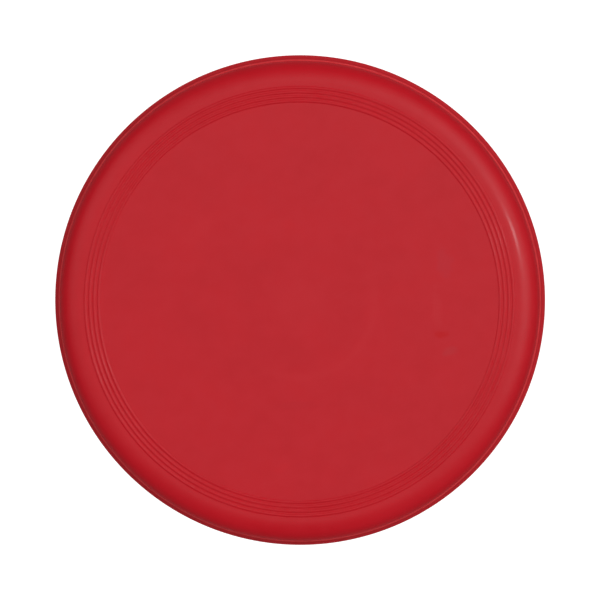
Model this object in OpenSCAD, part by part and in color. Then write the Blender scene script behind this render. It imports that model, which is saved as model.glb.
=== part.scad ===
// Flying disc for lawn games: one thin plastic moulding, open underneath.
// Origin at the centre of the circle that the rim stands on, +Z up, millimetres.
// The moulding is drawn as its sections, which meet face to face from the centre out to the rim.

/* [Disc] */
// Outside diameter of the rim band
disc_diameter = 230; // [210:1:276]
// Height from the rim foot to the crests of the flight rings
disc_height = 22; // [20:0.5:30]
// Thickness of the flight plate and shoulder
wall = 1.8; // [1.4:0.1:2.4]

/* [Flight rings] */
// Number of raised rings side by side
ring_count = 4; // [1:1:7]
// Distance from one crest to the next
ring_pitch = 2.06; // [1.8:0.02:2.4]
// Width of one ring at the plate
ring_width = 1.5; // [1.2:0.05:1.75]
// Height of a ring above the plate
ring_height = 0.3; // [0.15:0.05:0.5]
// Plain land between the last ring and the shoulder
shoulder_land = 1.65; // [1:0.05:4]

/* [Shoulder] */
// Outer radius of the first, gentle bend
gentle_bend = 13.5; // [12:0.5:16]
// Tilt at which the gentle bend ends, in degrees from level
gentle_tilt = 25; // [15:1:32]
// Outer radius of the second, tight bend
tight_bend = 7.4; // [6.5:0.1:9]
// Slope of the rim wall out of vertical, in degrees
wall_draft = 2.5; // [1:0.5:5]

/* [Rim band] */
// Height of the step that the wall stands on
step_height = 9; // [7:0.5:9.5]
// Hollow rounding between the wall and the step
step_fillet = 0.5; // [0.3:0.1:0.6]
// Width of the step, from the wall to the start of its rounded edge
step_width = 0.6; // [0.6:0.05:1]
// Rounding of the step's outer edge
step_rounding = 0.35; // [0.2:0.05:0.6]
// Slope of the band out of vertical, in degrees
band_draft = 4; // [1:0.5:6]
// How far the lip at the foot reaches out beyond the step's rounded edge
lip_reach = 2.3; // [2.1:0.1:2.6]
// Slope of the lip's upper face, in degrees from level
lip_slope = 50; // [45:1:60]
// Hollow rounding between the band and the lip
lip_fillet = 1.5; // [0.8:0.1:1.6]
// Rounding of the lip's outer edge
foot_rounding = 0.8; // [0.6:0.1:1]
// Width of the flat foot the disc stands on
foot_width = 1.6; // [1.2:0.1:2]

/* [Underside marks] */
// Diameter of the shallow well around the moulding gate
gate_well = 9; // [6:0.5:14]
// Diameter of the cut-off gate stub in the well
gate_stub = 1.8; // [1.2:0.1:3]
// Radius of the round witness line left by the mould core
core_line_radius = 35; // [20:1:50]
// Number of ejector pin marks
pin_marks = 6; // [3:1:12]
// Diameter of one ejector pin mark
pin_mark = 6; // [4:0.5:8]
// Radius of the circle the ejector pin marks lie on
pin_circle = 72; // [56:1:80]

/* [Hidden] */
$fn = 360;
disc_radius = disc_diameter / 2;
plate_top = disc_height - ring_height;
plate_under = plate_top - wall;

// Rim band: centres of its four rounded edges and hollows, joined by straight faces
band_tilt = 90 - band_draft;
wall_tilt = 90 - wall_draft;
foot_centre = [disc_radius - foot_rounding, foot_rounding];
foot_inside = foot_centre[0] - foot_width;
foot_chamfer = 0.4;
step_centre = [disc_radius - lip_reach - step_rounding, step_height - step_rounding];
lip_centre = meeting(
  band_tilt, reach(step_centre, band_tilt) + step_rounding + lip_fillet,
  lip_slope, reach(foot_centre, lip_slope) + foot_rounding + lip_fillet
);
band_top = step_height + step_fillet;
wall_corner = [step_centre[0] - step_width, step_height];
fillet_centre = meeting(wall_tilt, reach(wall_corner, wall_tilt) + step_fillet, 0, band_top);
wall_foot = tilted(fillet_centre, -step_fillet, wall_tilt);
wall_foot_inside = wall_foot - [wall / sin(wall_tilt), 0];
edge_steps = 8;

// Shoulder: two bends and a straight wall, tangent to one another
bend_step = gentle_bend - tight_bend;
gentle_centre_z = plate_top - gentle_bend;
tight_centre_z = gentle_centre_z + bend_step * cos(gentle_tilt);
tight_centre_reach = reach(wall_foot, wall_tilt) - tight_bend;
tight_centre_radius = (tight_centre_reach - tight_centre_z * cos(wall_tilt)) / sin(wall_tilt);
shoulder_start = tight_centre_radius - bend_step * sin(gentle_tilt);
gentle_steps = 8;
tight_steps = 20;
gentle_centre = [shoulder_start, gentle_centre_z];
tight_centre = [tight_centre_radius, tight_centre_z];

// Flight rings, counted outwards
inner_land = 0.25;
last_crest = shoulder_start - shoulder_land - ring_width / 2;
first_crest = last_crest - (ring_count - 1) * ring_pitch;
ring_zone_start = first_crest - ring_width / 2 - inner_land;
crest_radius = (ring_width * ring_width / 4 + ring_height * ring_height) / (2 * ring_height);
crest_centre_z = disc_height - crest_radius;
crest_tilt = asin(ring_width / 2 / crest_radius);
crest_steps = 8;

// Underside marks
gate_well_depth = 0.4;
gate_stub_height = 0.3;
core_line_width = 0.4;
mark_depth = 0.15;
cut = 1;

plastic = [0.73, 0.18, 0.2];

// Point at a distance from a centre, with the tilt counted from straight up towards the rim
function tilted(centre, distance, tilt) = centre + distance * [sin(tilt), cos(tilt)];

// How far out a point lies along the direction of a tilt
function reach(point, tilt) = point * [sin(tilt), cos(tilt)];

// Point that lies a given reach out along each of two tilts
function meeting(tilt_a, reach_a, tilt_b, reach_b) =
  [reach_a * cos(tilt_b) - reach_b * cos(tilt_a), reach_b * sin(tilt_a) - reach_a * sin(tilt_b)]
  / sin(tilt_a - tilt_b);

// Points along a round bend between two tilts, without the point it starts from.
// A negative radius makes a hollow bend.
function bend_points(centre, radius, tilt_from, tilt_to, steps) =
  [for (i = [1:steps]) tilted(centre, radius, tilt_from + (tilt_to - tilt_from) * i / steps)];

// Points over one round-topped ridge, from its inner edge on the plate to its outer one
function ridge_points(crest) =
  let (centre = [crest, crest_centre_z])
  concat(
    [tilted(centre, crest_radius, -crest_tilt)],
    bend_points(centre, crest_radius, -crest_tilt, crest_tilt, crest_steps)
  );

// Level disc in the middle, with the gate well, core line and pin marks on its underside
module flight_plate() {
  color(plastic) {
    difference() {
      translate([0, 0, plate_under])
        cylinder(h = wall, r = ring_zone_start);
      translate([0, 0, plate_under - cut])
        cylinder(h = cut + gate_well_depth, d = gate_well);
      translate([0, 0, plate_under - cut])
        difference() {
          cylinder(h = cut + mark_depth, r = core_line_radius + core_line_width / 2);
          cylinder(h = cut + mark_depth, r = core_line_radius - core_line_width / 2);
        }
      for (i = [0:pin_marks - 1]) {
        rotate([0, 0, i * 360 / pin_marks])
          translate([pin_circle, 0, plate_under - cut])
            cylinder(h = cut + mark_depth, d = pin_mark);
      }
    }
    translate([0, 0, plate_under + gate_well_depth - gate_stub_height])
      cylinder(h = gate_stub_height + mark_depth, d = gate_stub);
  }
}

// Round-topped ridges side by side on the plate
module flight_rings() {
  color(plastic)
    rotate_extrude()
      polygon(concat(
        [[ring_zone_start, plate_under], [ring_zone_start, plate_top]],
        [for (i = [0:ring_count - 1]) each ridge_points(first_crest + i * ring_pitch)],
        [[shoulder_start, plate_top], [shoulder_start, plate_under]]
      ));
}

// The plate turns down through two bends into the rim wall
module shoulder() {
  color(plastic)
    rotate_extrude()
      polygon(concat(
        [[shoulder_start, plate_top]],
        bend_points(gentle_centre, gentle_bend, 0, gentle_tilt, gentle_steps),
        bend_points(tight_centre, tight_bend, gentle_tilt, wall_tilt, tight_steps),
        [wall_foot, wall_foot_inside, tilted(tight_centre, tight_bend - wall, wall_tilt)],
        bend_points(tight_centre, tight_bend - wall, wall_tilt, gentle_tilt, tight_steps),
        bend_points(gentle_centre, gentle_bend - wall, gentle_tilt, 0, gentle_steps)
      ));
}

// Thick band below a narrow step, running out into a lip with a rounded edge and a flat foot
module rim_band() {
  color(plastic)
    rotate_extrude()
      polygon(concat(
        [wall_foot_inside, wall_foot],
        bend_points(fillet_centre, -step_fillet, wall_tilt, 0, edge_steps),
        [[step_centre[0], step_height]],
        bend_points(step_centre, step_rounding, 0, band_tilt, edge_steps),
        [tilted(lip_centre, -lip_fillet, band_tilt)],
        bend_points(lip_centre, -lip_fillet, band_tilt, lip_slope, edge_steps),
        [tilted(foot_centre, foot_rounding, lip_slope)],
        bend_points(foot_centre, foot_rounding, lip_slope, 180, edge_steps),
        [[foot_inside, 0], [foot_inside - foot_chamfer, foot_chamfer]]
      ));
}

flight_plate();
flight_rings();
shoulder();
rim_band();
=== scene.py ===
"""Looks for a one-piece red plastic flying disc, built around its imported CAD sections.

Metres throughout, in the frame of the CAD: +Z up, origin at the centre of the rim foot.
The plate is made of flat patches with its marks cut in, and the other sections are revolved
from finely sampled outlines. Each one stands for its CAD node.
"""

import math
import random

import bpy
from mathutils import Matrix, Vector
from mathutils.geometry import delaunay_2d_cdt


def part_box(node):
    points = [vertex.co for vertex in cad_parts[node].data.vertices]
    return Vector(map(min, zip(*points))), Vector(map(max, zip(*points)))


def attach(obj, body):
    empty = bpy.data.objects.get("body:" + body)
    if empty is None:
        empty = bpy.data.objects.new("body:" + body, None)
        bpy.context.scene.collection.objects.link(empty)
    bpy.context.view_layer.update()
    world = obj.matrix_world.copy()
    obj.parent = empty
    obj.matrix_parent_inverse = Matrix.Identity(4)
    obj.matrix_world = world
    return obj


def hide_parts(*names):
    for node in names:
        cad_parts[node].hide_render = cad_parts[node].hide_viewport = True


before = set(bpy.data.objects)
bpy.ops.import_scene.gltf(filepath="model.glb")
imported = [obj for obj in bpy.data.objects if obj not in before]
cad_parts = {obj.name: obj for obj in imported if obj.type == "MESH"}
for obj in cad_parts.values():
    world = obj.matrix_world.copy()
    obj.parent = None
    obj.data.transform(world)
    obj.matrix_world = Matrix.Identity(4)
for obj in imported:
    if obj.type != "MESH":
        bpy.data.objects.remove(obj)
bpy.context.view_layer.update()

MM = 0.001
MICRON = 0.001 * MM
SEED = 20

# ---------------------------------------------------------------- sizes, from the CAD sections

plate_lo, plate_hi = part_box("flight_plate")
rings_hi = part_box("flight_rings")[1]
band_lo, band_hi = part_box("rim_band")

# keeps the outside within the flat-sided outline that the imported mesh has
EDGE_CLEARANCE = 0.02 * MM
RIM_R = min(band_hi.x, band_hi.y, -band_lo.x, -band_lo.y) - EDGE_CLEARANCE
PLATE_TOP = plate_hi.z
PLATE_UNDER = plate_lo.z
WALL = PLATE_TOP - PLATE_UNDER
CREST_Z = rings_hi.z
SEAM_Z = band_hi.z

# rim band, from the step down to the lip
STEP_FILLET = 0.5 * MM
STEP_WIDTH = 0.6 * MM
STEP_ROUND = 0.35 * MM
BAND_TILT = math.radians(86)
LIP_REACH = 2.3 * MM
LIP_TILT = math.radians(50)
LIP_FILLET = 1.5 * MM
FOOT_ROUND = 0.8 * MM
FOOT_WIDTH = 1.6 * MM
FOOT_CHAMFER = 0.4 * MM
# shoulder
GENTLE_R = 13.5 * MM
GENTLE_TILT = math.radians(25)
TIGHT_R = 7.4 * MM
WALL_TILT = math.radians(87.5)
# flight rings
RING_COUNT = 4
RING_PITCH = 2.06 * MM
RING_WIDTH = 1.5 * MM
RING_LAND = 1.65 * MM
RING_MARGIN = 0.25 * MM
RING_BASE_ROUND = 0.09 * MM
# underside marks
GATE_WELL_R = 4.5 * MM
GATE_WELL_DEPTH = 0.4 * MM
GATE_STUB_R = 0.9 * MM
GATE_STUB_TOP = 0.1 * MM
STUB_TEAR = (-0.04 * MM, 0.05 * MM)
STUB_TEAR_RINGS = (0.75, 0.5, 0.25)
CORE_LINE_R = 35.0 * MM
CORE_LINE_W = 0.4 * MM
MARK_DEPTH = 0.15 * MM
PIN_MARKS = 6
PIN_MARK_R = 3.0 * MM
PIN_CIRCLE_R = 72.0 * MM

# How finely things are divided: sides of a full turn, steps over one ring pitch, spacing on the plate
SEGMENTS = 360
CORE_LINE_SIDES = SEGMENTS // 2
WELL_SIDES = 96
PIN_SIDES = 60
STUB_SIDES = 36
RING_STEPS = 22
PLATE_SPACING = 5 * MM


def tilted(centre, distance, tilt):
    """Point at a distance from a centre, the tilt counted from straight up towards the rim."""
    return (centre[0] + distance * math.sin(tilt), centre[1] + distance * math.cos(tilt))


def between_lines(tilt_a, reach_a, tilt_b, reach_b):
    """Point with given distances along two outward directions: where two offset faces meet."""
    det = math.sin(tilt_a - tilt_b)
    r = (reach_a * math.cos(tilt_b) - reach_b * math.cos(tilt_a)) / det
    return (r, (reach_b * math.sin(tilt_a) - reach_a * math.sin(tilt_b)) / det)


def reach(point, tilt):
    """How far a point lies along an outward direction."""
    return point[0] * math.sin(tilt) + point[1] * math.cos(tilt)


# The outline's centres of curvature, worked inwards from the rim as the CAD does
foot_c = (RIM_R - FOOT_ROUND, FOOT_ROUND)
foot_inside = foot_c[0] - FOOT_WIDTH
BAND_TOP = SEAM_Z + STEP_FILLET * math.cos(WALL_TILT)
STEP_Z = BAND_TOP - STEP_FILLET
step_c = (RIM_R - LIP_REACH - STEP_ROUND, STEP_Z - STEP_ROUND)
lip_c = between_lines(
    BAND_TILT,
    reach(step_c, BAND_TILT) + STEP_ROUND + LIP_FILLET,
    LIP_TILT,
    reach(foot_c, LIP_TILT) + FOOT_ROUND + LIP_FILLET,
)
wall_corner = (step_c[0] - STEP_WIDTH, STEP_Z)
fillet_c = between_lines(WALL_TILT, reach(wall_corner, WALL_TILT) + STEP_FILLET, 0, BAND_TOP)
wall_foot = tilted(fillet_c, -STEP_FILLET, WALL_TILT)
wall_foot_in = (wall_foot[0] - WALL / math.sin(WALL_TILT), wall_foot[1])
bend_step = GENTLE_R - TIGHT_R
gentle_cz = PLATE_TOP - GENTLE_R
tight_cz = gentle_cz + bend_step * math.cos(GENTLE_TILT)
tight_reach = reach(wall_foot, WALL_TILT) - TIGHT_R
tight_c = ((tight_reach - tight_cz * math.cos(WALL_TILT)) / math.sin(WALL_TILT), tight_cz)
gentle_c = (tight_c[0] - bend_step * math.sin(GENTLE_TILT), gentle_cz)
shoulder_start = gentle_c[0]
last_crest = shoulder_start - RING_LAND - RING_WIDTH / 2
first_crest = last_crest - (RING_COUNT - 1) * RING_PITCH
rings_start = first_crest - RING_WIDTH / 2 - RING_MARGIN

# ---------------------------------------------------------------- outlines
# A run is a list of (radius, height, normal radius, normal height, side). Neighbouring runs share
# their end points, and where their normals differ there the surface has a crease. The side is the
# material slot of the surface.
OUTSIDE, UNDERSIDE = 0, 1


def line(a, b, steps=1, side=OUTSIDE):
    """Straight run; its normal is to the left of the way it goes."""
    dr, dz = b[0] - a[0], b[1] - a[1]
    length = math.hypot(dr, dz)
    normal = (-dz / length, dr / length)
    return [
        (a[0] + dr * i / steps, a[1] + dz * i / steps, *normal, side) for i in range(steps + 1)
    ]


def arc(centre, radius, tilt_a, tilt_b, steps, side=OUTSIDE, hollow=False):
    """Round run between two tilts; the normal of a hollow one points to its centre."""
    sign = -1 if hollow else 1
    run = []
    for i in range(steps + 1):
        t = tilt_a + (tilt_b - tilt_a) * i / steps
        r, z = tilted(centre, radius, t)
        run.append((r, z, sign * math.sin(t), sign * math.cos(t), side))
    return run


def cove(centre, radius, tilt_a, tilt_b, steps):
    """Hollow round run on the outside between two tilts of its own normal."""
    return arc(centre, -radius, tilt_a, tilt_b, steps)


def smooth_run(heights, start, stop, steps, side=OUTSIDE):
    """Run over a height function of the radius, with normals from its slope."""
    tiny = 0.002 * MM
    run = []
    for i in range(steps + 1):
        r = start + (stop - start) * i / steps
        slope = (heights(r + tiny) - heights(r - tiny)) / (2 * tiny)
        length = math.hypot(slope, 1)
        run.append((r, heights(r), -slope / length, 1 / length, side))
    return run


def ring_height(r):
    """Height over the ring zone: round-topped ridges, averaged a little so that their feet run softly in."""
    rise = CREST_Z - PLATE_TOP
    radius = (RING_WIDTH**2 / 4 + rise**2) / (2 * rise)
    total = 0.0
    samples = 5
    for k in range(samples):
        x = r + RING_BASE_ROUND * (2 * k / (samples - 1) - 1)
        nearest = min(max(round((x - first_crest) / RING_PITCH), 0), RING_COUNT - 1)
        off = x - (first_crest + nearest * RING_PITCH)
        ridge = math.sqrt(max(radius**2 - off**2, 0)) - (radius - rise)
        total += max(ridge, 0)
    return PLATE_TOP + total / samples


# ---------------------------------------------------------------- meshes

UP, DOWN = (0, 0, 1), (0, 0, -1)
# slack for telling which side of a flat-sided circle a triangle is on
JUST_INSIDE, JUST_OUTSIDE = 0.999, 1.001


def make_mesh(name, verts, faces, normals, slots):
    """Object from vertices, faces, one normal per face corner and a material slot per face."""
    mesh = bpy.data.meshes.new(name)
    mesh.from_pydata(verts, [], faces)
    mesh.polygons.foreach_set("material_index", slots)
    mesh.polygons.foreach_set("use_smooth", [True] * len(faces))
    mesh.normals_split_custom_set([n for face in normals for n in face])
    mesh.update()
    obj = bpy.data.objects.new(name, mesh)
    bpy.context.collection.objects.link(obj)
    return obj


def circle(radius, count, centre=(0.0, 0.0)):
    """Points evenly round a circle, anticlockwise from +X."""
    turns = [2 * math.pi * j / count for j in range(count)]
    return [(centre[0] + radius * math.cos(t), centre[1] + radius * math.sin(t)) for t in turns]


def revolve(name, runs):
    """Closed ring of the outline's runs turned about Z. Outward is to the left of the outline's way."""
    strips = [pair for run in runs for pair in zip(run, run[1:])]
    count = len(strips)
    turn = circle(1.0, SEGMENTS)
    verts, faces, normals, slots = [], [], [], []
    for c, s in turn:
        verts.extend((a[0] * c, a[0] * s, a[1]) for a, _ in strips)
    for j in range(SEGMENTS):
        k = (j + 1) % SEGMENTS
        (cj, sj), (ck, sk) = turn[j], turn[k]
        for i, (a, b) in enumerate(strips):
            n = (i + 1) % count
            faces.append((j * count + i, j * count + n, k * count + n, k * count + i))
            normals.append(
                (
                    (a[2] * cj, a[2] * sj, a[3]),
                    (b[2] * cj, b[2] * sj, b[3]),
                    (b[2] * ck, b[2] * sk, b[3]),
                    (a[2] * ck, a[2] * sk, a[3]),
                )
            )
            slots.append(a[4])
    return make_mesh(name, verts, faces, normals, slots)


def scatter(radius, spacing):
    """Points evenly spread inside a circle, so that a flat patch gets well-shaped triangles."""
    rings = round(radius / spacing)
    points = [(0.0, 0.0)]
    for k in range(1, rings):
        points.extend(circle(radius * k / rings, 6 * k))
    return points


def everywhere(x, y):
    """Keeps every triangle of a flat patch."""
    return True


class Patchwork:
    """Gathers flat patches and short walls into one mesh with exact normals."""

    # points are one vertex if they are the same on a grid this fine
    CELLS_PER_METRE = 1e8
    # the triangulation's output type that fills the whole hull, and its tolerance
    FILL_HULL = 0
    TOLERANCE = 1e-9

    def __init__(self):
        self.verts, self.faces, self.normals, self.slots, self.index = [], [], [], [], {}

    def vertex(self, x, y, z):
        """Number of the vertex at a point, which is added if it is new."""
        key = tuple(round(v * self.CELLS_PER_METRE) for v in (x, y, z))
        if key not in self.index:
            self.index[key] = len(self.verts)
            self.verts.append((x, y, z))
        return self.index[key]

    def face(self, corners, normals, side=UNDERSIDE):
        """One face from its corners, a normal for each, and its side."""
        self.faces.append([self.vertex(*c) for c in corners])
        self.normals.append(normals)
        self.slots.append(side)

    def flat(self, loops, z, up, keep, loose=()):
        """Fills between closed loops at one height; keep(x, y) says which triangles stay."""
        edges, given = [], []
        for loop in loops:
            base = len(given)
            given.extend(loop)
            edges.extend((base + i, base + (i + 1) % len(loop)) for i in range(len(loop)))
        given.extend(loose)
        points = [Vector(p) for p in given]
        triangles, origins = delaunay_2d_cdt(points, edges, [], self.FILL_HULL, self.TOLERANCE)[2:4]
        for tri in triangles:
            corners = [given[origins[i][0]] for i in tri]
            mx = sum(c[0] for c in corners) / len(corners)
            my = sum(c[1] for c in corners) / len(corners)
            if not keep(mx, my):
                continue
            if up:
                self.face([(*c, z) for c in corners], [UP] * len(corners), OUTSIDE)
            else:
                self.face([(*c, z) for c in corners[::-1]], [DOWN] * len(corners))

    def wall(self, loop, z_low, z_high, centre=(0, 0), outward=False):
        """Upright wall round a loop; outward says whether it faces away from the loop's centre."""
        sign = 1 if outward else -1
        for i in range(len(loop)):
            a, b = loop[i], loop[(i + 1) % len(loop)]
            if not outward:
                a, b = b, a
            na = tuple(Vector((a[0] - centre[0], a[1] - centre[1], 0)).normalized() * sign)
            nb = tuple(Vector((b[0] - centre[0], b[1] - centre[1], 0)).normalized() * sign)
            self.face([(*a, z_low), (*b, z_low), (*b, z_high), (*a, z_high)], [na, nb, nb, na])

    def finish(self, name):
        """The object made of everything gathered."""
        return make_mesh(name, self.verts, self.faces, self.normals, self.slots)


def torn_stub(work, edge, base):
    """End of the cut-off gate stub, a little torn: rings of points at seeded heights."""
    rng = random.Random(SEED)
    rings = [[(*p, base) for p in edge]]
    for share in STUB_TEAR_RINGS:
        ring = circle(GATE_STUB_R * share, STUB_SIDES)
        rings.append([(*p, base + rng.uniform(*STUB_TEAR)) for p in ring])
    nexts = [(i, (i + 1) % STUB_SIDES) for i in range(STUB_SIDES)]
    for outer, inner in zip(rings, rings[1:]):
        for i, n in nexts:
            work.face([outer[n], outer[i], inner[i], inner[n]], [DOWN] * 4)
    last = rings[-1]
    for i, n in nexts:
        work.face([last[n], last[i], (0, 0, base)], [DOWN] * 3)


def plate_mesh():
    """Level disc: plain on top, with gate well, core line and pin marks underneath."""
    work = Patchwork()
    rim = circle(rings_start, SEGMENTS)
    loose = scatter(rings_start, PLATE_SPACING)
    work.flat([rim], PLATE_TOP, True, everywhere, loose)
    work.wall(rim, PLATE_UNDER, PLATE_TOP, outward=True)

    well = circle(GATE_WELL_R, WELL_SIDES)
    stub = circle(GATE_STUB_R, STUB_SIDES)
    half_line = CORE_LINE_W / 2
    line_out = circle(CORE_LINE_R + half_line, CORE_LINE_SIDES)
    line_in = circle(CORE_LINE_R - half_line, CORE_LINE_SIDES)
    pin_centres = circle(PIN_CIRCLE_R, PIN_MARKS)
    pins = [circle(PIN_MARK_R, PIN_SIDES, c) for c in pin_centres]

    def plain(x, y):
        r = math.hypot(x, y)
        in_line = abs(r - CORE_LINE_R) < half_line * JUST_INSIDE
        in_pin = any(math.hypot(x - c[0], y - c[1]) < PIN_MARK_R * JUST_INSIDE for c in pin_centres)
        return r > GATE_WELL_R * JUST_INSIDE and not in_line and not in_pin

    def outside_line_in(x, y):
        return math.hypot(x, y) > CORE_LINE_R - half_line * JUST_OUTSIDE

    def outside_stub(x, y):
        return math.hypot(x, y) > GATE_STUB_R * JUST_INSIDE

    between = [p for p in loose if plain(*p)]
    work.flat([rim, well, line_out, line_in, *pins], PLATE_UNDER, False, plain, between)
    mark_z = PLATE_UNDER + MARK_DEPTH
    work.flat([line_out, line_in], mark_z, False, outside_line_in)
    work.wall(line_out, PLATE_UNDER, mark_z)
    work.wall(line_in, PLATE_UNDER, mark_z, outward=True)
    for centre, pin in zip(pin_centres, pins):
        work.flat([pin], mark_z, False, everywhere, [centre])
        work.wall(pin, PLATE_UNDER, mark_z, centre)
    well_z = PLATE_UNDER + GATE_WELL_DEPTH
    stub_z = PLATE_UNDER + GATE_STUB_TOP
    work.flat([well, stub], well_z, False, outside_stub)
    work.wall(well, PLATE_UNDER, well_z)
    work.wall(stub, stub_z, well_z, outward=True)
    torn_stub(work, stub, stub_z)
    return work.finish("plate_skin")


def rings_mesh():
    """Ring zone: four ridges on top, plain underneath."""
    first_foot = first_crest - RING_WIDTH / 2 - RING_BASE_ROUND
    last_foot = last_crest + RING_WIDTH / 2 + RING_BASE_ROUND
    ridge_steps = round((last_foot - first_foot) / RING_PITCH * RING_STEPS)
    return revolve(
        "rings_skin",
        [
            line((rings_start, PLATE_UNDER), (rings_start, PLATE_TOP), side=UNDERSIDE),
            line((rings_start, PLATE_TOP), (first_foot, PLATE_TOP)),
            smooth_run(ring_height, first_foot, last_foot, ridge_steps),
            line((last_foot, PLATE_TOP), (shoulder_start, PLATE_TOP), steps=2),
            line((shoulder_start, PLATE_TOP), (shoulder_start, PLATE_UNDER), side=UNDERSIDE),
            line((shoulder_start, PLATE_UNDER), (rings_start, PLATE_UNDER), steps=6, side=UNDERSIDE),
        ],
    )


def shoulder_mesh():
    """Two bends and the rim wall, the same thickness all the way."""
    inside_gentle, inside_tight = GENTLE_R - WALL, TIGHT_R - WALL
    return revolve(
        "shoulder_skin",
        [
            line((shoulder_start, PLATE_UNDER), (shoulder_start, PLATE_TOP), side=UNDERSIDE),
            arc(gentle_c, GENTLE_R, 0, GENTLE_TILT, steps=14),
            arc(tight_c, TIGHT_R, GENTLE_TILT, WALL_TILT, steps=36),
            line(tilted(tight_c, TIGHT_R, WALL_TILT), wall_foot, steps=3),
            line(wall_foot, wall_foot_in, side=UNDERSIDE),
            line(wall_foot_in, tilted(tight_c, inside_tight, WALL_TILT), steps=3, side=UNDERSIDE),
            arc(tight_c, inside_tight, WALL_TILT, GENTLE_TILT, steps=30, side=UNDERSIDE, hollow=True),
            arc(gentle_c, inside_gentle, GENTLE_TILT, 0, steps=12, side=UNDERSIDE, hollow=True),
        ],
    )


def rim_band_mesh():
    """Step, steep band and lip on the outside, the flat foot, and a sloping inner side."""
    chamfer_top = (foot_inside - FOOT_CHAMFER, FOOT_CHAMFER)
    step_start, step_end = (fillet_c[0], STEP_Z), (step_c[0], STEP_Z)
    band_top, band_foot = tilted(step_c, STEP_ROUND, BAND_TILT), tilted(lip_c, -LIP_FILLET, BAND_TILT)
    lip_top, lip_foot = tilted(lip_c, -LIP_FILLET, LIP_TILT), tilted(foot_c, FOOT_ROUND, LIP_TILT)
    return revolve(
        "rim_band_skin",
        [
            line(wall_foot_in, wall_foot, side=UNDERSIDE),
            cove(fillet_c, STEP_FILLET, WALL_TILT, 0, steps=8),
            line(step_start, step_end),
            arc(step_c, STEP_ROUND, 0, BAND_TILT, steps=8),
            line(band_top, band_foot, steps=4),
            cove(lip_c, LIP_FILLET, BAND_TILT, LIP_TILT, steps=6),
            line(lip_top, lip_foot, steps=2),
            arc(foot_c, FOOT_ROUND, LIP_TILT, math.pi, steps=14),
            line((foot_c[0], 0), (foot_inside, 0), steps=2),
            line((foot_inside, 0), chamfer_top, side=UNDERSIDE),
            line(chamfer_top, wall_foot_in, steps=6, side=UNDERSIDE),
        ],
    )


# ---------------------------------------------------------------- moulded plastic

RED = (0.675, 0.0106, 0.0207)
MOTTLE_RED = (RED[0] * 1.02, RED[1] * 1.35, RED[2] * 1.25)
# lighter red: wear on the lip and on scratches, and painted light on the step ledge and its fillet
WORN_AND_LIT_RED = (0.90, 0.075, 0.085)
DUSTY_RED = (0.60, 0.035, 0.045)
BLUSH_RED = (0.70, 0.020, 0.03)
FLOW_RED = (0.62, 0.009, 0.018)
CORE_LINE_RED = (0.72, 0.022, 0.032)
PLASTIC_IOR = 1.3
# a red sheen stands in for the light that the thin plastic lets through near its edges
EDGE_GLOW = 0.7
EDGE_GLOW_SPREAD = 0.5
GLOW_RED = (0.9, 0.015, 0.03)

# Noises: size of their features, detail, roughness and offset
CLOUDS = (30 * MM, 3.0, 0.6, 0.31)
MOTTLE = (8 * MM, 3.0, 0.6, 0.77)
WEAR_AND_LIGHT_PATCHES = (3.5 * MM, 4.0, 0.65, 1.9)
GLOSS = (18 * MM, 4.0, 0.6, 2.7)
TURNING = (20 * MM, 2.0, 0.5, 7.7)
DUST = (12 * MM, 5.0, 0.7, 8.8)
RAGGED = (4 * MM, 4.0, 0.7, 11.3)
WAVY = (16 * MM, 3.0, 0.6, 12.9)
# Relief: noise and height of the mould waves, the orange peel and the fine grain
RELIEF = (
    ((30 * MM, 2.0, 0.5, 4.2), 14 * MICRON),
    ((2.2 * MM, 2.0, 0.5, 5.5), 1.6 * MICRON),
    ((0.4 * MM, 2.0, 0.6, 6.1), 0.5 * MICRON),
)
# nearly all of a noise's values lie in this range, evenly about its middle
NOISE_RANGE = (0.3, 0.7)
NOISE_MIDDLE = 0.5
# an offset moves a noise along this direction, so that no two noises are alike
OFFSET_DIRECTION = (1.0, 0.7, 1.3)

# colour contrast of the clouds, and strength of the mottle
CLOUD_CONTRAST = 0.025
MOTTLE_STRENGTH = 0.5
# roughness: its range, what the lower wall, worn places, the step under its painted light and the underside
# add, and its limit
ROUGHNESS = (0.13, 0.19)
WALL_DULLER = 0.3
WALL_DULLER_FROM, WALL_DULLER_TO = 18 * MM, 10 * MM
WORN_AND_LIT_DULLER = 0.3
UNDERSIDE_DULLER = 0.16
ROUGHEST = 0.7
# wear and the painted light on the step are patchy: the range of their noise, and how strong they are at the
# ends of that
PATCHES_RANGE = (0.30, 0.75)
PATCHES_STRENGTH = (0.55, 0.95)
# painted light on the step: a lighter colour that brightens the upward-facing ledge and lifts the shade in
# its fillet corner. It fades in outwards over a width, and upwards between two depths below its top
STEP_LIGHT_WIDTH = 0.35 * MM
STEP_LIGHT_DEPTHS = (0.45 * MM, 0.1 * MM)
# wear of the lip fades in downwards, from a little above its hollow to the height where it is full
LIP_WEAR = 0.3
LIP_WEAR_ABOVE = 0.5 * MM
LIP_WEAR_FULL = 1.6 * MM
# underside: pitch and depth of the core's turning rings, and where and how strong the dust is
TURNING_PITCH = 0.45 * MM
TURNING_DEPTH = (0.4 * MICRON, 1.1 * MICRON)
DUSTY_RANGE = (0.5, 0.75)
DUSTIEST = 0.18
# Scratches on the outside: turn in radians, spacing, how near the middle of its noise one lies, offset
SCRATCHES = (
    (0.4, 1.2 * MM, 0.012, 0.4),
    (1.7, 1.5 * MM, 0.010, 1.3),
    (2.6, 1.8 * MM, 0.010, 2.2),
)
# the noise is read this much more slowly along a scratch than across it
SCRATCH_STRETCH = 0.045
# scratches lie in some places only: a noise and the range where they fade in
SCRATCHED_PLACES = (28 * MM, 2.0, 0.6)
SCRATCHED_OFFSET = 3.1
SCRATCHED_RANGE = (0.56, 0.66)
SCRATCH_STRENGTH = 0.5
SCRATCH_LIGHTER = 0.08
SCRATCH_DULLER = 0.12
SCRATCH_DEPTH = 0.8 * MICRON


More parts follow.
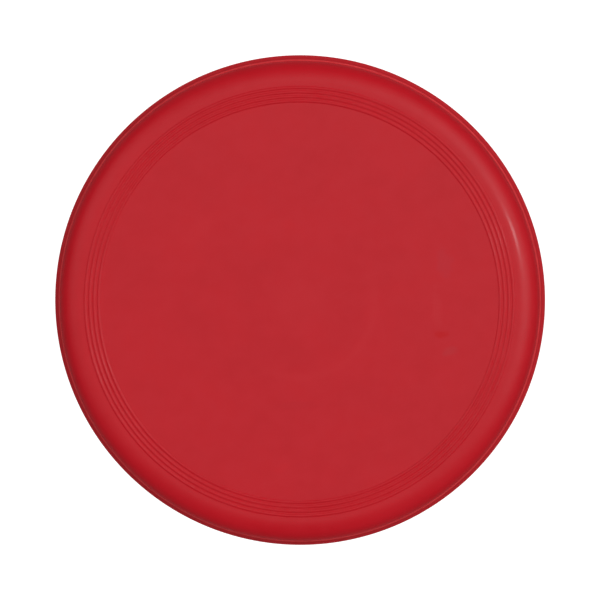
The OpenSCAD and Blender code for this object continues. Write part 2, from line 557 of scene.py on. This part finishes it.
class Nodes:
    """Shorthand for building one node tree."""

    def __init__(self, tree):
        self.tree = tree

    def add(self, kind, **inputs):
        """New node with values or links for the inputs named."""
        node = self.tree.nodes.new(kind)
        for name, value in inputs.items():
            self.put(node.inputs[name.replace("_", " ")], value)
        return node

    def put(self, socket, value):
        """Links a socket to another one, or sets its value."""
        if isinstance(value, bpy.types.NodeSocket):
            self.tree.links.new(value, socket)
        else:
            socket.default_value = value

    def math(self, operation, *values):
        """Result of one operation on numbers."""
        node = self.tree.nodes.new("ShaderNodeMath")
        node.operation = operation
        for socket, value in zip(node.inputs, values):
            self.put(socket, value)
        return node.outputs[0]

    def vector(self, operation, *values):
        """Result of one operation on vectors."""
        node = self.tree.nodes.new("ShaderNodeVectorMath")
        node.operation = operation
        for socket, value in zip(node.inputs, values):
            self.put(socket, value)
        return node.outputs["Value" if operation in ("DOT_PRODUCT", "LENGTH") else "Vector"]

    def noise(self, vector, size, detail, rough, offset):
        """Noise from 0 to 1 whose features are about size metres across."""
        moved = self.vector("ADD", vector, tuple(offset * share for share in OFFSET_DIRECTION))
        node = self.add("ShaderNodeTexNoise", Vector=moved, Scale=1 / size, Detail=detail, Roughness=rough)
        return node.outputs["Fac"]

    def ramp(self, value, low, high, to_low=0.0, to_high=1.0, smooth=True):
        """Value taken from one range to another and held at its ends."""
        node = self.tree.nodes.new("ShaderNodeMapRange")
        node.interpolation_type = "SMOOTHSTEP" if smooth else "LINEAR"
        for socket, v in zip(node.inputs, (value, low, high, to_low, to_high)):
            self.put(socket, v)
        return node.outputs["Result"]

    def mix(self, factor, a, b):
        """Colour between a and b."""
        node = self.tree.nodes.new("ShaderNodeMix")
        node.data_type = "RGBA"
        colours = [s for s in node.inputs if s.type == "RGBA"]
        for socket, value in zip((node.inputs[0], *colours), (factor, a, b)):
            self.put(socket, value)
        return next(s for s in node.outputs if s.type == "RGBA")

    def mix_shader(self, factor, a, b):
        """Output of a shader between a and b."""
        node = self.tree.nodes.new("ShaderNodeMixShader")
        for socket, value in zip(node.inputs, (factor, a, b)):
            self.put(socket, value)
        return node.outputs[0]


def rgba(colour, scale=1.0):
    """Colour for a socket, made lighter or darker by the scale."""
    return (*[c * scale for c in colour], 1.0)


def pigment(n, place):
    """Colour of the fresh plastic: slow pigment clouds and a finer mottle."""
    clouds = n.ramp(n.noise(place, *CLOUDS), *NOISE_RANGE)
    mottle = n.ramp(n.noise(place, *MOTTLE), *NOISE_RANGE)
    colour = n.mix(clouds, rgba(RED, 1 - CLOUD_CONTRAST), rgba(RED, 1 + CLOUD_CONTRAST))
    return n.mix(n.math("MULTIPLY", mottle, MOTTLE_STRENGTH), colour, rgba(MOTTLE_RED))


def wear_and_painted_light(n, place, radius, height):
    """How much lighter the plastic is coloured: painted light on the step most, wear on the lip a little."""
    patchy = n.ramp(n.noise(place, *WEAR_AND_LIGHT_PATCHES), *PATCHES_RANGE, *PATCHES_STRENGTH)
    step_light_low, step_light_high = (STEP_Z - depth for depth in STEP_LIGHT_DEPTHS)
    # painted light: the step ledge and its fillet corner coloured lighter, as where light falls on them
    painted_light_on_step = n.math(
        "MULTIPLY",
        n.ramp(radius, fillet_c[0] - STEP_LIGHT_WIDTH, fillet_c[0]),
        n.ramp(height, step_light_low, step_light_high),
    )
    on_lip = n.math("MULTIPLY", n.ramp(height, lip_c[1] + LIP_WEAR_ABOVE, LIP_WEAR_FULL), LIP_WEAR)
    return n.math("MULTIPLY", patchy, n.math("MAXIMUM", painted_light_on_step, on_lip))


def gloss(n, place, height, worn_and_lit):
    """Roughness: slow changes, duller down the wall, where the lip is worn and where light is painted on the
    step.
    """
    rough = n.ramp(n.noise(place, *GLOSS), *NOISE_RANGE, *ROUGHNESS)
    rough = n.math("ADD", rough, n.ramp(height, WALL_DULLER_FROM, WALL_DULLER_TO, 0.0, WALL_DULLER))
    return n.math("ADD", rough, n.math("MULTIPLY", worn_and_lit, WORN_AND_LIT_DULLER))


def moulded_relief(n, place):
    """Height of the surface in metres: long mould waves, orange peel and a fine grain."""
    relief = 0.0
    for noise, height in RELIEF:
        relief = n.math("ADD", n.math("MULTIPLY", n.noise(place, *noise), height), relief)
    return relief


def scratches(n, place, turn, spacing, width, offset):
    """Sparse fine straight scratches across one direction: 1 on a scratch, 0 elsewhere."""
    turned = n.add("ShaderNodeMapping", Vector=place, Rotation=(0, 0, turn)).outputs["Vector"]
    drawn_out = n.vector("MULTIPLY", turned, (SCRATCH_STRETCH, 1.0, 1.0))
    lines = n.noise(drawn_out, spacing, 0.0, 0.0, offset)
    near = n.math("ABSOLUTE", n.math("SUBTRACT", lines, NOISE_MIDDLE))
    where = n.ramp(n.noise(place, *SCRATCHED_PLACES, offset + SCRATCHED_OFFSET), *SCRATCHED_RANGE)
    return n.math("MULTIPLY", n.ramp(near, 0.0, width, 1.0, 0.0), where)


def turned_underside(n, place, radius, colour, rough, relief):
    """The underside is duller and a little dusty, with the fine turning rings of the mould core."""
    turning = n.math("SINE", n.math("MULTIPLY", radius, 2 * math.pi / TURNING_PITCH))
    depth = n.ramp(n.noise(place, *TURNING), *NOISE_RANGE, *TURNING_DEPTH)
    relief = n.math("ADD", relief, n.math("MULTIPLY", turning, depth))
    rough = n.math("ADD", rough, UNDERSIDE_DULLER)
    dust = n.ramp(n.noise(place, *DUST), *DUSTY_RANGE, 0.0, DUSTIEST)
    return n.mix(dust, colour, rgba(DUSTY_RED)), rough, relief


def scratched_outside(n, flat_place, colour, rough, relief):
    """The outside has fine scratches in three directions."""
    fine = 0.0
    for layer in SCRATCHES:
        fine = n.math("MAXIMUM", scratches(n, flat_place, *layer), fine)
    fine = n.math("MULTIPLY", fine, SCRATCH_STRENGTH)
    colour = n.mix(n.math("MULTIPLY", fine, SCRATCH_LIGHTER), colour, rgba(WORN_AND_LIT_RED))
    rough = n.math("ADD", rough, n.math("MULTIPLY", fine, SCRATCH_DULLER))
    return colour, rough, n.math("SUBTRACT", relief, n.math("MULTIPLY", fine, SCRATCH_DEPTH))


# Round the gate: from where to where the blush fades out, and where the flow ring lies
BLUSH_FADE = (5 * MM, 17 * MM)
BLUSH_STRENGTH = 0.30
FLOW_R = 25 * MM
FLOW_HALF_WIDTH = 8 * MM
FLOW_STRENGTH = 0.14
WAVINESS = 9 * MM
# The core line shows through on one side only: the azimuth of that side in radians, how the line
# fades in towards it, and how far off the line it fades out
CORE_LINE_SHOWS = -0.9
CORE_LINE_ALONG = (0.0, 0.7)
CORE_LINE_FADE = (0.4 * MM, 3.0 * MM)
CORE_LINE_STRENGTH = 0.20
# Rubbed and smudged places on the plate: centre and half size in millimetres, turn in degrees,
# colour, strength
MARKS = (
    ((65.9, -15.0), (4.4, 2.0), -4, (0.66, 0.001, 0.006), 0.85),
    ((69.8, -22.8), (4.2, 2.6), 12, (0.58, 0.035, 0.045), 0.32),
    ((67.0, 18.0), (4.5, 7.5), 8, (0.58, 0.03, 0.05), 0.22),
    ((63.5, -3.0), (2.6, 12.0), 4, (0.72, 0.03, 0.04), 0.22),
    ((-2.0, -48.0), (17.0, 2.2), 3, (0.58, 0.010, 0.02), 0.16),
    ((-46.0, 33.0), (15.0, 5.0), 42, (0.74, 0.02, 0.03), 0.16),
    ((-5.0, 36.0), (4.0, 3.0), 0, (0.76, 0.010, 0.02), 0.20),
    ((-8.0, -77.0), (4.5, 2.2), 20, (0.76, 0.010, 0.02), 0.18),
)
# their edges: how ragged, and from where to where they fade, in shares of the half size
MARK_RAGGEDNESS = 1.6
MARK_EDGE = (0.35, 1.15)
MARK_DULLER = 0.12


def moulding_marks(n, place, flat_place, radius, colour):
    """Faint blush and flow ring round the gate, and part of the core line showing through."""
    wavy = n.math("SUBTRACT", n.noise(place, *WAVY), NOISE_MIDDLE)
    uneven = n.math("ADD", radius, n.math("MULTIPLY", wavy, WAVINESS))
    blush = n.ramp(uneven, *BLUSH_FADE, BLUSH_STRENGTH, 0.0)
    colour = n.mix(blush, colour, rgba(BLUSH_RED))
    off_flow = n.math("ABSOLUTE", n.math("SUBTRACT", uneven, FLOW_R))
    flow = n.ramp(off_flow, 0.0, FLOW_HALF_WIDTH, FLOW_STRENGTH, 0.0)
    colour = n.mix(flow, colour, rgba(FLOW_RED))
    off_line = n.math("ABSOLUTE", n.math("SUBTRACT", radius, CORE_LINE_R))
    shows = (math.cos(CORE_LINE_SHOWS), math.sin(CORE_LINE_SHOWS), 0)
    towards = n.vector("DOT_PRODUCT", n.vector("NORMALIZE", flat_place), shows)
    across = n.ramp(off_line, *CORE_LINE_FADE, CORE_LINE_STRENGTH, 0.0)
    part = n.math("MULTIPLY", n.ramp(towards, *CORE_LINE_ALONG), across)
    return n.mix(part, colour, rgba(CORE_LINE_RED))


def marks_of_use(n, place, flat_place, colour, rough):
    """A few rubbed and smudged places with ragged edges."""
    ragged = n.math("SUBTRACT", n.noise(place, *RAGGED), NOISE_MIDDLE)
    for centre, half, turn, tint, strength in MARKS:
        shift = n.vector("SUBTRACT", flat_place, (centre[0] * MM, centre[1] * MM, 0))
        turned = n.add("ShaderNodeMapping", Vector=shift, Rotation=(0, 0, -math.radians(turn)))
        shares = (1 / (half[0] * MM), 1 / (half[1] * MM), 0)
        away = n.vector("LENGTH", n.vector("MULTIPLY", turned.outputs["Vector"], shares))
        away = n.math("ADD", away, n.math("MULTIPLY", ragged, MARK_RAGGEDNESS))
        mark = n.ramp(away, *MARK_EDGE, strength, 0.0)
        colour = n.mix(mark, colour, rgba(tint))
        rough = n.math("ADD", rough, n.math("MULTIPLY", mark, MARK_DULLER))
    return colour, rough


def plastic(name, side):
    """Red moulded plastic for one side of the disc."""
    material = bpy.data.materials.new(name)
    material.use_nodes = True
    bsdf = material.node_tree.nodes["Principled BSDF"]
    n = Nodes(material.node_tree)
    place = n.add("ShaderNodeTexCoord").outputs["Object"]
    height = n.add("ShaderNodeSeparateXYZ", Vector=place).outputs["Z"]
    flat_place = n.vector("MULTIPLY", place, (1, 1, 0))
    radius = n.vector("LENGTH", flat_place)

    # lighter colour: painted light on the step, wear on the lip
    worn_and_lit = wear_and_painted_light(n, place, radius, height)
    colour = n.mix(worn_and_lit, pigment(n, place), rgba(WORN_AND_LIT_RED))
    rough = gloss(n, place, height, worn_and_lit)
    relief = moulded_relief(n, place)
    if side == UNDERSIDE:
        colour, rough, relief = turned_underside(n, place, radius, colour, rough, relief)
    else:
        colour, rough, relief = scratched_outside(n, flat_place, colour, rough, relief)
        colour = moulding_marks(n, place, flat_place, radius, colour)
        colour, rough = marks_of_use(n, place, flat_place, colour, rough)

    bump = n.add("ShaderNodeBump", Strength=1.0, Distance=1.0, Height=relief)
    n.put(bsdf.inputs["Base Color"], colour)
    n.put(bsdf.inputs["Roughness"], n.math("MINIMUM", rough, ROUGHEST))
    n.put(bsdf.inputs["Normal"], bump.outputs["Normal"])
    bsdf.inputs["IOR"].default_value = PLASTIC_IOR
    bsdf.inputs["Sheen Weight"].default_value = EDGE_GLOW
    bsdf.inputs["Sheen Roughness"].default_value = EDGE_GLOW_SPREAD
    bsdf.inputs["Sheen Tint"].default_value = rgba(GLOW_RED)
    return material


# in the order of their slots, OUTSIDE and UNDERSIDE
sides = (plastic("red_plastic", OUTSIDE), plastic("red_plastic_under", UNDERSIDE))

SECTIONS = (
    ("flight_plate", plate_mesh),
    ("flight_rings", rings_mesh),
    ("shoulder", shoulder_mesh),
    ("rim_band", rim_band_mesh),
)
for node, build in SECTIONS:
    skin = build()
    for material in sides:
        skin.data.materials.append(material)
    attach(skin, "root")
    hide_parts(node)

# ---------------------------------------------------------------- floor, light and camera

WHITE = (1, 1, 1, 1)
FLOOR_HALF = 12.0
FLOOR_DROP = 0.05 * MM
# how pale the floor is as a source of light from below, and as seen in the gloss of the disc
FLOOR_GREY = 0.42
FLOOR_MIRRORED = 0.2


def floor_material():
    """Pale floor that the camera sees as clean white, and that is see-through from below."""
    material = bpy.data.materials.new("pale_floor")
    material.use_nodes = True
    tree = material.node_tree
    tree.nodes.remove(tree.nodes["Principled BSDF"])
    n = Nodes(tree)
    path = n.add("ShaderNodeLightPath")
    shade = n.ramp(path.outputs["Is Glossy Ray"], 0.0, 1.0, FLOOR_GREY, FLOOR_MIRRORED, smooth=False)
    plain = n.add("ShaderNodeBsdfDiffuse", Color=shade, Roughness=0.5)
    glow = n.add("ShaderNodeEmission", Color=WHITE, Strength=path.outputs["Is Camera Ray"])
    top = n.add("ShaderNodeAddShader")
    n.put(top.inputs[0], plain.outputs[0])
    n.put(top.inputs[1], glow.outputs[0])
    clear = n.add("ShaderNodeBsdfTransparent")
    below = n.add("ShaderNodeNewGeometry").outputs["Backfacing"]
    both = n.mix_shader(below, top.outputs[0], clear.outputs[0])
    n.put(tree.nodes["Material Output"].inputs["Surface"], both)
    return material


def lay_floor():
    """Level square far larger than the view, just under the rim foot."""
    signs = ((-1, -1), (1, -1), (1, 1), (-1, 1))
    corners = [(x * FLOOR_HALF, y * FLOOR_HALF, -FLOOR_DROP) for x, y in signs]
    mesh = bpy.data.meshes.new("floor")
    mesh.from_pydata(corners, [], [(0, 1, 2, 3)])
    mesh.materials.append(floor_material())
    floor = bpy.data.objects.new("floor", mesh)
    bpy.context.collection.objects.link(floor)


def direction(from_zenith, azimuth):
    """Unit vector, from degrees off straight up and degrees anticlockwise from +X."""
    t, a = math.radians(from_zenith), math.radians(azimuth)
    return Vector((math.sin(t) * math.cos(a), math.sin(t) * math.sin(a), math.cos(t)))


# The studio's soft boxes as broad lobes: degrees off straight up, azimuth, falloff power, brightness
SOFT_BOXES = (
    (25, 30, 10, 1.52),
    (35, 150, 10, 0.68),
    (35, 0, 4, 0.37),
    (25, 180, 10, 0.53),
    (35, 0, 25, 0.65),
    (85, 15, 6, 0.16),
)
ROOM_LIGHT = 0.12


def studio_world():
    """Soft boxes in a dim room, which the camera itself sees as plain white."""
    world = bpy.data.worlds.new("studio")
    bpy.context.scene.world = world
    world.use_nodes = True
    nodes = world.node_tree.nodes
    n = Nodes(world.node_tree)
    sky = n.add("ShaderNodeTexCoord").outputs["Generated"]
    level = ROOM_LIGHT
    for off, azimuth, power, brightness in SOFT_BOXES:
        facing = n.vector("DOT_PRODUCT", sky, tuple(direction(off, azimuth)))
        lobe = n.math("POWER", n.math("MAXIMUM", facing, 0.0), power)
        level = n.math("ADD", n.math("MULTIPLY", lobe, brightness), level)
    soft = nodes["Background"]
    n.put(soft.inputs["Color"], WHITE)
    n.put(soft.inputs["Strength"], level)
    pale = n.add("ShaderNodeBackground", Color=WHITE, Strength=1.0)
    from_camera = n.add("ShaderNodeLightPath").outputs["Is Camera Ray"]
    seen = n.mix_shader(from_camera, soft.outputs[0], pale.outputs[0])
    n.put(nodes["World Output"].inputs["Surface"], seen)


# The lamp that makes the bright streak on the shoulder: directions in degrees, sizes in metres, watts
LAMP_OFF_ZENITH = 28.6
LAMP_AZIMUTH = 14.8
LAMP_DISTANCE = 1.6
LAMP_LENGTH = 0.26
LAMP_WIDTH = 0.05
LAMP_POWER = 0.85


def strip_lamp():
    """Small soft lamp aimed at the disc, its length running up and down."""
    data = bpy.data.lights.new("strip_lamp", "AREA")
    data.shape = "RECTANGLE"
    data.size, data.size_y = LAMP_WIDTH, LAMP_LENGTH
    data.energy = LAMP_POWER
    lamp = bpy.data.objects.new("strip_lamp", data)
    bpy.context.collection.objects.link(lamp)
    towards = direction(LAMP_OFF_ZENITH, LAMP_AZIMUTH)
    lamp.location = towards * LAMP_DISTANCE
    lamp.rotation_euler = towards.to_track_quat("Z", "Y").to_euler()


# The camera looks down from not quite above the middle
VIEW_OVER_X = math.radians(0.85)
VIEW_OVER_Y = math.radians(1.80)
VIEW_DISTANCE = 1.5
# width of the view at the point the camera is aimed at
FIELD = 0.28136
SENSOR = 36.0
AIM = Vector((0.075, 0.300, 1.2)) * MM


def place_camera():
    """Camera at the photograph's viewing angle."""
    data = bpy.data.cameras.new("camera")
    data.sensor_width = SENSOR
    data.lens = SENSOR * VIEW_DISTANCE / FIELD
    data.clip_start, data.clip_end = 0.05, 100
    camera = bpy.data.objects.new("camera", data)
    bpy.context.collection.objects.link(camera)
    camera.rotation_euler = (-VIEW_OVER_Y, VIEW_OVER_X, 0)
    camera.location = AIM + camera.rotation_euler.to_matrix() @ Vector((0, 0, VIEW_DISTANCE))
    bpy.context.scene.camera = camera


lay_floor()
studio_world()
strip_lamp()
place_camera()
view_settings = bpy.context.scene.view_settings
view_settings.view_transform = "Standard"
view_settings.look = "None"
